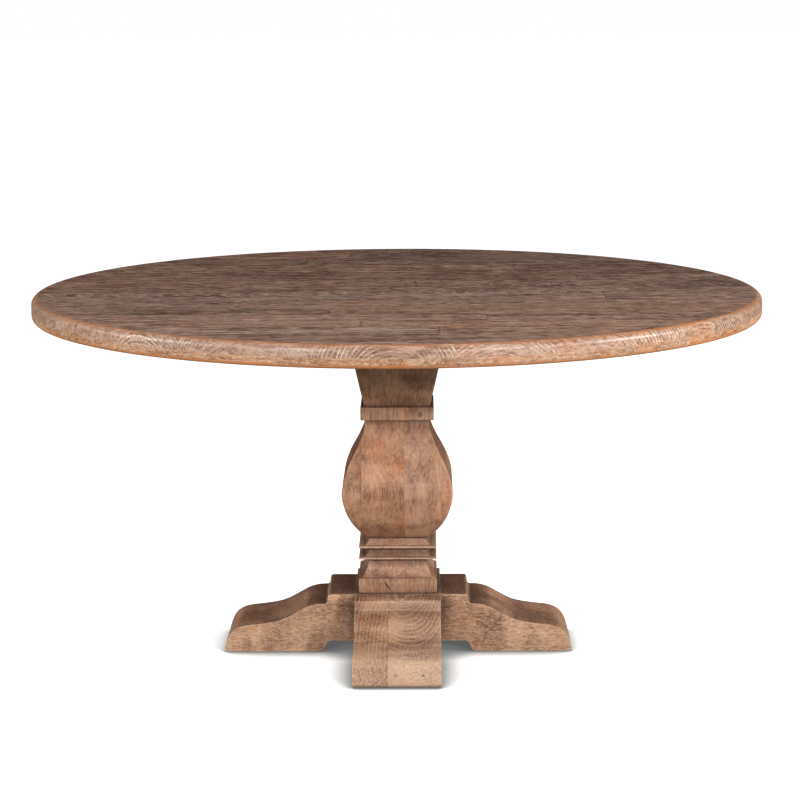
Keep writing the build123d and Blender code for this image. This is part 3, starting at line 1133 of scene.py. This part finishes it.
@dataclass
class TableTop:
    """Boards, the layer under their rim, battens and the mounting plate."""

    joiner: Joiner
    board_ease: float = 0.0005
    frame_ease: float = 0.001
    back_painted_shade: float = 0.13
    round_over: float = 0.014
    arc_depth: float = 0.085
    board_sawing: Sawing = Sawing((0.03, 0.10), 0.09, tilt=0.05)
    rim_sawing: Sawing = Sawing((0.05, 0.12), 0.05)
    figured_rows: tuple[str, ...] = ("top_board_07", "top_board_09", "top_board_10")
    figured_tilt: float = 0.35
    rim: RimWear = field(init=False)

    def __post_init__(self) -> None:
        """Read the rim's size from the frame."""
        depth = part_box("top_board_01")[0].z - self.arc_depth
        self.rim = RimWear(radius=CAD_BOX[1].x, round_over=self.round_over, depth=depth)

    def build_boards(self) -> None:
        """Make the boards, with painted shade that darkens them towards the back of the table."""
        figured = replace(self.board_sawing, tilt=self.figured_tilt)
        for node in nodes_named("top_board"):
            shade = Shade.pick(node, figured if node.startswith(self.figured_rows) else self.board_sawing)
            # Painted shade: boards farther back are darker, as the lamps fall off.
            shade = shade.lifted(-self.back_painted_shade * shade.centre.y / self.rim.radius)
            sides = [(axis, corner[axis]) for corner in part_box(node) for axis in (0, 1)]
            joints = glued_sides(node, sides)
            finish = TOP_FACE.make(f"{node}_stain", Grain.ALONG_X, shade, self.rim, joints=joints)
            self.joiner.make(node, "top_wood", finish, wide=self.board_ease)

    def build_rim(self) -> None:
        """Make the segments under the edge, with the fibres of each along its chord."""
        for node in nodes_named("rim_segment"):
            low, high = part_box(node)
            middle = (low + high) / 2
            turn = -math.atan2(middle.y, middle.x) - math.pi / 2
            finish = RIM_LAYER.make(f"{node}_stain", turn, Shade.pick(node, self.rim_sawing))
            self.joiner.make(node, "rim_wood", finish, wide=self.board_ease)

    def build_frame(self) -> None:
        """Make the battens and the mounting plate."""
        for node in nodes_named("batten"):
            finish = FRAME_WOOD.make(f"{node}_stain", Grain.ALONG_Y, Shade.pick(node))
            self.joiner.make(node, "frame_wood", finish, wide=self.frame_ease)
        finish = FRAME_WOOD.make("mounting_plate_stain", Grain.ALONG_X, Shade.pick("mounting_plate"))
        self.joiner.make("mounting_plate", "frame_wood", finish, wide=self.frame_ease)

    def build(self) -> None:
        """Make every piece of the top."""
        self.build_boards()
        self.build_rim()
        self.build_frame()


@dataclass
class Column:
    """Neck, collar, vase, base moulding and plinth, one square block on another."""

    joiner: Joiner
    block_sawing: Sawing = Sawing((0.05, 0.14), 0.05)
    stave_sawing: Sawing = Sawing((0.04, 0.12), 0.06)
    block_ease: float = 0.002
    moulding_ease: float = 0.0008
    darker: dict[str, float] = field(default_factory=lambda: {"plinth": 0.12, "neck": -0.10, "collar": -0.14})
    marks: dict[str, tuple[Mark, ...]] = field(
        default_factory=lambda: {
            "collar": (Mark((0.048, -0.077, 0.509), (0.006, 0.014, 0.007), darkness=0.5),),
            "plinth": (
                Mark((-0.022, -0.083, 0.142), (0.0022, 0.02, 0.013), (0.0, -0.6, 0.0), 0.0, darkness=0.9),
            ),
        }
    )

    def seams(self, node: str) -> list[Plane]:
        """The level planes at the two ends of a block."""
        low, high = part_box(node)
        return [(2, low.z), (2, high.z)]

    def build_blocks(self) -> None:
        """Make the solid blocks."""
        for node in ("neck", "collar", "base_moulding", "plinth"):
            shade = Shade.pick(node, self.block_sawing).lifted(-self.darker.get(node, 0.0))
            joints = glued_sides(node, self.seams(node))
            marks = self.marks.get(node, ())
            finish = COLUMN_WOOD.make(f"{node}_stain", Grain.UPRIGHT, shade, marks=marks, joints=joints)
            wide = self.moulding_ease if node == "base_moulding" else self.block_ease
            self.joiner.make(node, "column_wood", finish, self.seams(node), wide)

    def build_vase(self) -> None:
        """Make the staves that are glued side by side into the vase."""
        staves = nodes_named("vase_stave")
        glue = [(0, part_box(node)[0].x) for node in staves[1:]]
        ends = self.seams("vase_stave_2")
        for node in staves:
            shade = Shade.pick(node, self.stave_sawing)
            joints = glued_sides(node, glue)
            finish = COLUMN_WOOD.make(f"{node}_stain", Grain.UPRIGHT, shade, joints=joints)
            self.joiner.make(node, "column_wood", finish, ends + glue)

    def build(self) -> None:
        """Make every block of the column."""
        self.build_blocks()
        self.build_vase()


@dataclass
class LegCross:
    """Two beams that cross in a half-lap, each of two planks."""

    joiner: Joiner
    sawing: Sawing = Sawing((0.06, 0.12), 0.04)
    toe_tilt: float = 0.02
    leans: dict[str, tuple[float, float]] = field(
        default_factory=lambda: {
            "upper_beam_left_plank": (-8.0, 8.0),
            "upper_beam_right_plank": (70.0, 110.0),
        }
    )
    marks: dict[str, tuple[Mark, ...]] = field(
        default_factory=lambda: {
            "upper_beam_right_plank": (
                Mark((-0.002, -0.362, 0.027), (0.005, 0.014, 0.003), (0.0, 0.3, 0.0), darkness=0.45),
                Mark((0.053, -0.362, 0.027), (0.004, 0.014, 0.003), darkness=0.6),
            ),
        }
    )

    def build(self) -> None:
        """Make the four planks."""
        lower_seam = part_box("lower_beam_front_plank")[1].y
        upper_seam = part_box("upper_beam_left_plank")[1].x
        for node in nodes_named("lower_beam"):
            joints = glued_sides(node, [(1, lower_seam)])
            shade = Shade.pick(node, self.sawing)
            finish = LEG_WOOD.make(f"{node}_stain", Grain.ALONG_X, shade, joints=joints)
            self.joiner.make(node, "leg_wood", finish, [(1, lower_seam)])
        for node, lean in self.leans.items():
            sawing = replace(self.sawing, lean=lean, tilt=self.toe_tilt)
            shade = replace(Shade.pick(node, sawing), lift=0.0)
            joints = glued_sides(node, [(0, upper_seam)])
            marks = self.marks.get(node, ())
            finish = TOE_WOOD.make(f"{node}_stain", Grain.ALONG_Y, shade, marks=marks, joints=joints)
            self.joiner.make(node, "leg_wood", finish, [(0, upper_seam)])


@dataclass
class Hardware:
    """Rod, nuts, washers, screws and glides, which keep their CAD shapes."""

    metal: tuple[str, ...] = (
        "tie_rod",
        "rod_nuts",
        "rod_washers",
        "coach_screws",
        "top_screws",
        "neck_screws",
    )

    def dress(self, node: str, material: bpy.types.Material) -> None:
        """Give a CAD node its finish.

        Args:
            node: The node's name.
            material: The finish.
        """
        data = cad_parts[node].data
        data.materials.clear()
        data.materials.append(material)
        LOG.info("%s: dressed", node)

    def build(self) -> None:
        """Dress every piece."""
        zinc = ZINC.make("zinc_plate")
        for node in self.metal:
            self.dress(node, zinc)
        self.dress("foot_glides", NYLON.make("black_nylon"))


# ---- The studio ----------------------------------------------------------------------------------
@dataclass(frozen=True)
class SoftBox:
    """A rectangular light that faces a point, with its power in watts."""

    name: str
    place: Triple
    size: tuple[float, float]
    power: float
    aim: Triple = (0.0, 0.0, 0.45)

    def hang(self) -> None:
        """Add the light to the scene."""
        data = bpy.data.lights.new(self.name, "AREA")
        data.shape = "RECTANGLE"
        data.size, data.size_y = self.size
        data.energy = self.power
        light = bpy.data.objects.new(self.name, data)
        light.location = self.place
        light.rotation_euler = (Vector(self.aim) - Vector(self.place)).to_track_quat("-Z", "Y").to_euler()
        bpy.context.scene.collection.objects.link(light)


@dataclass(frozen=True)
class PaleFloor:
    """A wide disc at floor level, lit near the table and plain white farther off."""

    radius: float = 40.0
    segments: int = 96
    lit: Colour = (0.80, 0.82, 0.80)
    shaded: Colour = (0.20, 0.23, 0.22)
    bounced: Colour = (0.34, 0.33, 0.31)
    contact_reach: float = 0.08
    glow_back: float = 0.12
    glow_start: float = 0.38
    glow_full: float = 0.85
    least_glow: float = 0.72
    shadow_glow: float = 0.15
    roughness: float = 0.9
    shine: float = 0.1

    def paint(self, wire: Wiring, shader: bpy.types.NodeInputs, seen: Socket) -> Socket:
        """Colour the floor, with a soft shadow where the table stands on it.

        Args:
            wire: The material's wiring.
            shader: The inputs of its Principled node.
            seen: Whether the camera looks straight at it.

        Returns:
            How open the floor is, from 0 under the table's feet to 1.
        """
        contact = wire.add("ShaderNodeAmbientOcclusion", {"Distance": self.contact_reach}, samples=8)
        openness = wire.spread(contact["AO"], 0.45, 0.98)
        lit = wire.mix(openness, opaque(self.shaded), opaque(self.lit))
        wire.feed(shader["Base Color"], wire.mix(seen, opaque(self.bounced), lit))
        shader["Roughness"].default_value = self.roughness
        shader["Specular IOR Level"].default_value = self.shine
        return openness

    def glow(self, wire: Wiring, openness: Socket, seen: Socket) -> Socket:
        """White light from the floor itself, fainter near the table and in its shadow.

        Args:
            wire: The material's wiring.
            openness: How open the floor is.
            seen: Whether the camera looks straight at it.

        Returns:
            The light as a shader's socket.
        """
        spot = wire.add("ShaderNodeTexCoord")["Object"]
        reach = wire.length(wire.vector("ADD", spot, (0.0, self.glow_back, 0.0)))
        away = wire.spread(reach, self.glow_start, self.glow_full, self.least_glow, 1.0)
        held = wire.math("MULTIPLY_ADD", openness, 1.0 - self.shadow_glow, self.shadow_glow)
        strength = wire.math("MULTIPLY", seen, wire.math("MULTIPLY", away, held))
        return wire.add("ShaderNodeEmission", {"Color": WHITE, "Strength": strength})[0]

    def material(self) -> bpy.types.Material:
        """Make the floor's material.

        Returns:
            The material, which can't be seen from below.
        """
        material, wire, shader = new_material("pale_floor")
        nodes = material.node_tree.nodes
        seen = wire.add("ShaderNodeLightPath")["Is Camera Ray"]
        openness = self.paint(wire, shader, seen)
        lit = nodes["Principled BSDF"].outputs[0]
        both = wire.add("ShaderNodeAddShader", (lit, self.glow(wire, openness, seen)))[0]
        below = wire.add("ShaderNodeNewGeometry")["Backfacing"]
        clear = wire.add("ShaderNodeBsdfTransparent")[0]
        one_sided = wire.add("ShaderNodeMixShader", (below, both, clear))[0]
        wire.feed(nodes["Material Output"].inputs["Surface"], one_sided)
        return material

    def lay(self) -> None:
        """Add the floor to the scene."""
        mesh = bmesh.new()
        bmesh.ops.create_circle(mesh, cap_ends=True, segments=self.segments, radius=self.radius)
        data = bpy.data.meshes.new("floor")
        mesh.to_mesh(data)
        mesh.free()
        data.materials.append(self.material())
        floor = bpy.data.objects.new("floor", data)
        bpy.context.scene.collection.objects.link(floor)


@dataclass
class Studio:
    """Pale floor, soft light and the camera."""

    eye: Vector = field(default_factory=lambda: Vector((0.0536, -5.3148, 1.4670)))
    yaw: float = 0.0090
    pitch: float = 0.1751
    roll: float = -0.0051
    lens: float = 114.58
    sensor: float = 36.0
    sight: float = 200.0
    ambient: float = 0.07
    floor: PaleFloor = PaleFloor()
    lights: tuple[SoftBox, ...] = (
        SoftBox("key_right", (2.8, -4.9, 2.1), (1.4, 0.8), 192.0),
        SoftBox("key_left", (-2.6, -5.0, 2.0), (1.4, 0.8), 152.0),
        SoftBox("side_right", (4.2, -1.5, 1.9), (1.5, 1.0), 180.0),
        SoftBox("side_left", (-4.2, -1.5, 1.9), (1.5, 1.0), 108.0),
        SoftBox("front_top", (-0.1, -0.95, 2.6), (1.4, 0.4), 6.0, (-0.1, -0.75, 0.76)),
    )

    def add_camera(self) -> None:
        """Place the camera by its eye point, turn and lens."""
        level_part = math.cos(self.pitch)
        x = -math.sin(self.yaw) * level_part
        y = math.cos(self.yaw) * level_part
        ahead = Vector((x, y, -math.sin(self.pitch)))
        level = Vector((math.cos(self.yaw), math.sin(self.yaw), 0.0))
        above = level.cross(ahead)
        right = level * math.cos(self.roll) + above * math.sin(self.roll)
        up = above * math.cos(self.roll) - level * math.sin(self.roll)
        data = bpy.data.cameras.new("camera")
        data.lens = self.lens
        data.sensor_width = self.sensor
        data.clip_end = self.sight
        camera = bpy.data.objects.new("camera", data)
        camera.matrix_world = Matrix.Translation(self.eye) @ Matrix((right, up, -ahead)).transposed().to_4x4()
        bpy.context.scene.collection.objects.link(camera)
        bpy.context.scene.camera = camera

    def add_world(self) -> None:
        """White to look at, and a dimmer white as light."""
        world = bpy.data.worlds.new("studio")
        world.use_nodes = True
        wire = Wiring(world.node_tree)
        background = world.node_tree.nodes["Background"].inputs
        seen = wire.add("ShaderNodeLightPath")["Is Camera Ray"]
        wire.feed(background["Color"], WHITE)
        strength = wire.math("MULTIPLY_ADD", seen, 1.0 - self.ambient, self.ambient)
        wire.feed(background["Strength"], strength)
        bpy.context.scene.world = world

    def build(self) -> None:
        """Set up the whole studio."""
        bpy.context.scene.view_settings.view_transform = "Standard"
        self.add_camera()
        self.add_world()
        self.floor.lay()
        for light in self.lights:
            light.hang()


# ---- Putting it together -------------------------------------------------------------------------
def main() -> None:
    """Build the studio and the table."""
    logging.basicConfig(level=logging.INFO, format="%(message)s")
    Studio().build()
    joiner = Joiner()
    for part in (TableTop(joiner), Column(joiner), LegCross(joiner), Hardware()):
        part.build()


if __name__ == "__main__":
    main()
